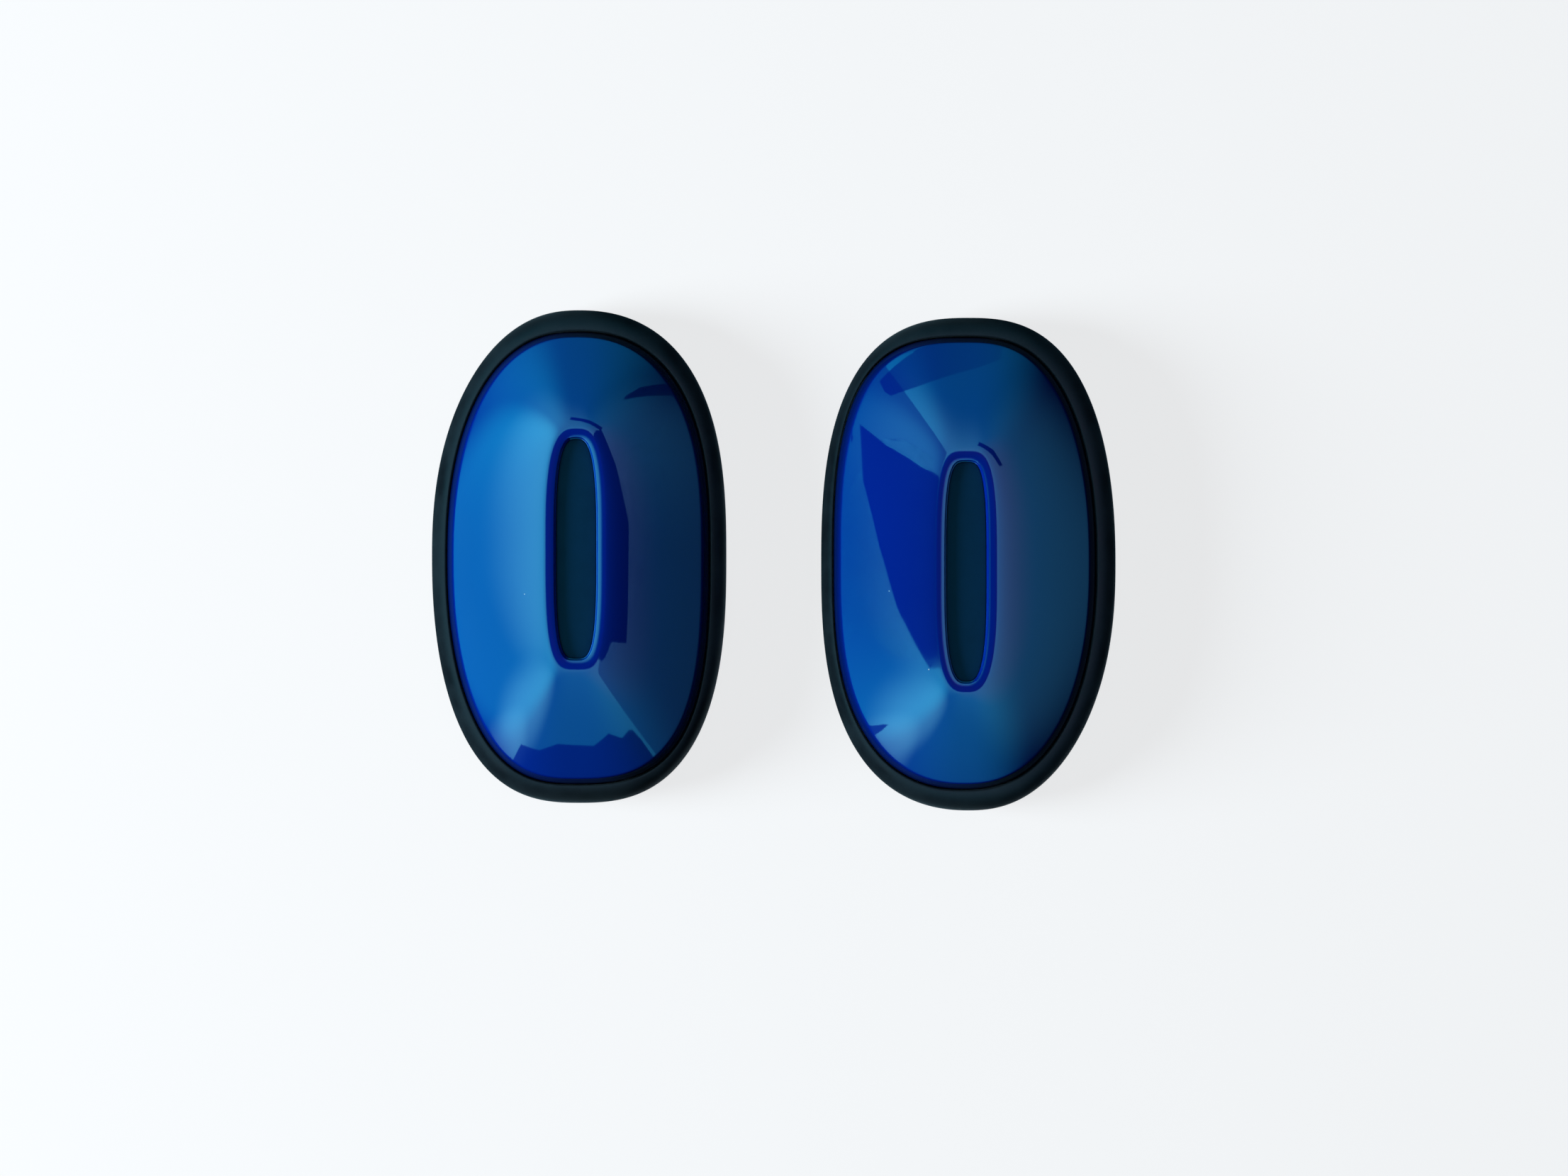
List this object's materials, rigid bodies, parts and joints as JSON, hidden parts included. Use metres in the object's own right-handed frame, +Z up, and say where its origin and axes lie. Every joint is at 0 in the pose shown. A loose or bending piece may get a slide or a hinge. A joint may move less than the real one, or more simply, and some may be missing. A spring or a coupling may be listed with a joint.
{
  "type": "magnetic glass cleaner",
  "caption": "Magnetic aquarium glass cleaner: a dry hand half and a floating wet half, each a domed glossy shell with a slot insert, a rubber rim and a flat pad.",
  "frame": {"origin": "on the resting plane, at the middle of the box around the two halves", "axes": "+X from the dry outer half to the wet inner half, +Y along the halves' length towards the outer half's slimmer end, +Z up, away from the pads"},
  "size_m": [0.1804, 0.132, 0.029],
  "materials": {
    "cobalt_shell": "gloss",
    "grip_insert": "matte",
    "bumper_rubber": "matte",
    "tray_plastic": "satin",
    "magnet": "satin",
    "keeper_steel": "satin",
    "closed_cell_foam": "matte",
    "seal_rubber": "matte",
    "hook_tape": "matte",
    "adhesive_sheet": "satin",
    "felt": "matte",
    "scrub_fibre": "matte",
    "screw_steel": "polished"
  },
  "bodies": {
    "outer_half": {"outer_cover": "cobalt_shell", "outer_grip_insert": "grip_insert", "outer_bumper": "bumper_rubber", "outer_base": "tray_plastic", "outer_magnet_front": "magnet", "outer_magnet_rear": "magnet", "outer_keeper_plate": "keeper_steel", "outer_foam_spacer": "closed_cell_foam", "outer_screw_1": "screw_steel", "outer_screw_2": "screw_steel", "outer_screw_3": "screw_steel", "outer_screw_4": "screw_steel", "outer_pad_adhesive": "adhesive_sheet", "outer_felt_pad": "felt"},
    "scrub_pad": {"inner_scrub_pad": "scrub_fibre"},
    "inner_half": {"inner_cover": "cobalt_shell", "inner_grip_insert": "grip_insert", "inner_bumper": "bumper_rubber", "inner_base": "tray_plastic", "inner_magnet_front": "magnet", "inner_magnet_rear": "magnet", "inner_keeper_plate": "keeper_steel", "inner_float_front": "closed_cell_foam", "inner_float_rear": "closed_cell_foam", "inner_seal_ring": "seal_rubber", "inner_hook_sheet": "hook_tape"}
  },
  "joints": [
    {"name": "halves_apart", "type": "slide", "parent": "outer_half", "child": "scrub_pad", "axis": [1, 0, 0], "range_m": [-0.023, 0.1]},
    {"name": "pad_peel", "type": "slide", "parent": "scrub_pad", "child": "inner_half", "axis": [0, 0, 1], "range_m": [0, 0.06]}
  ]
}
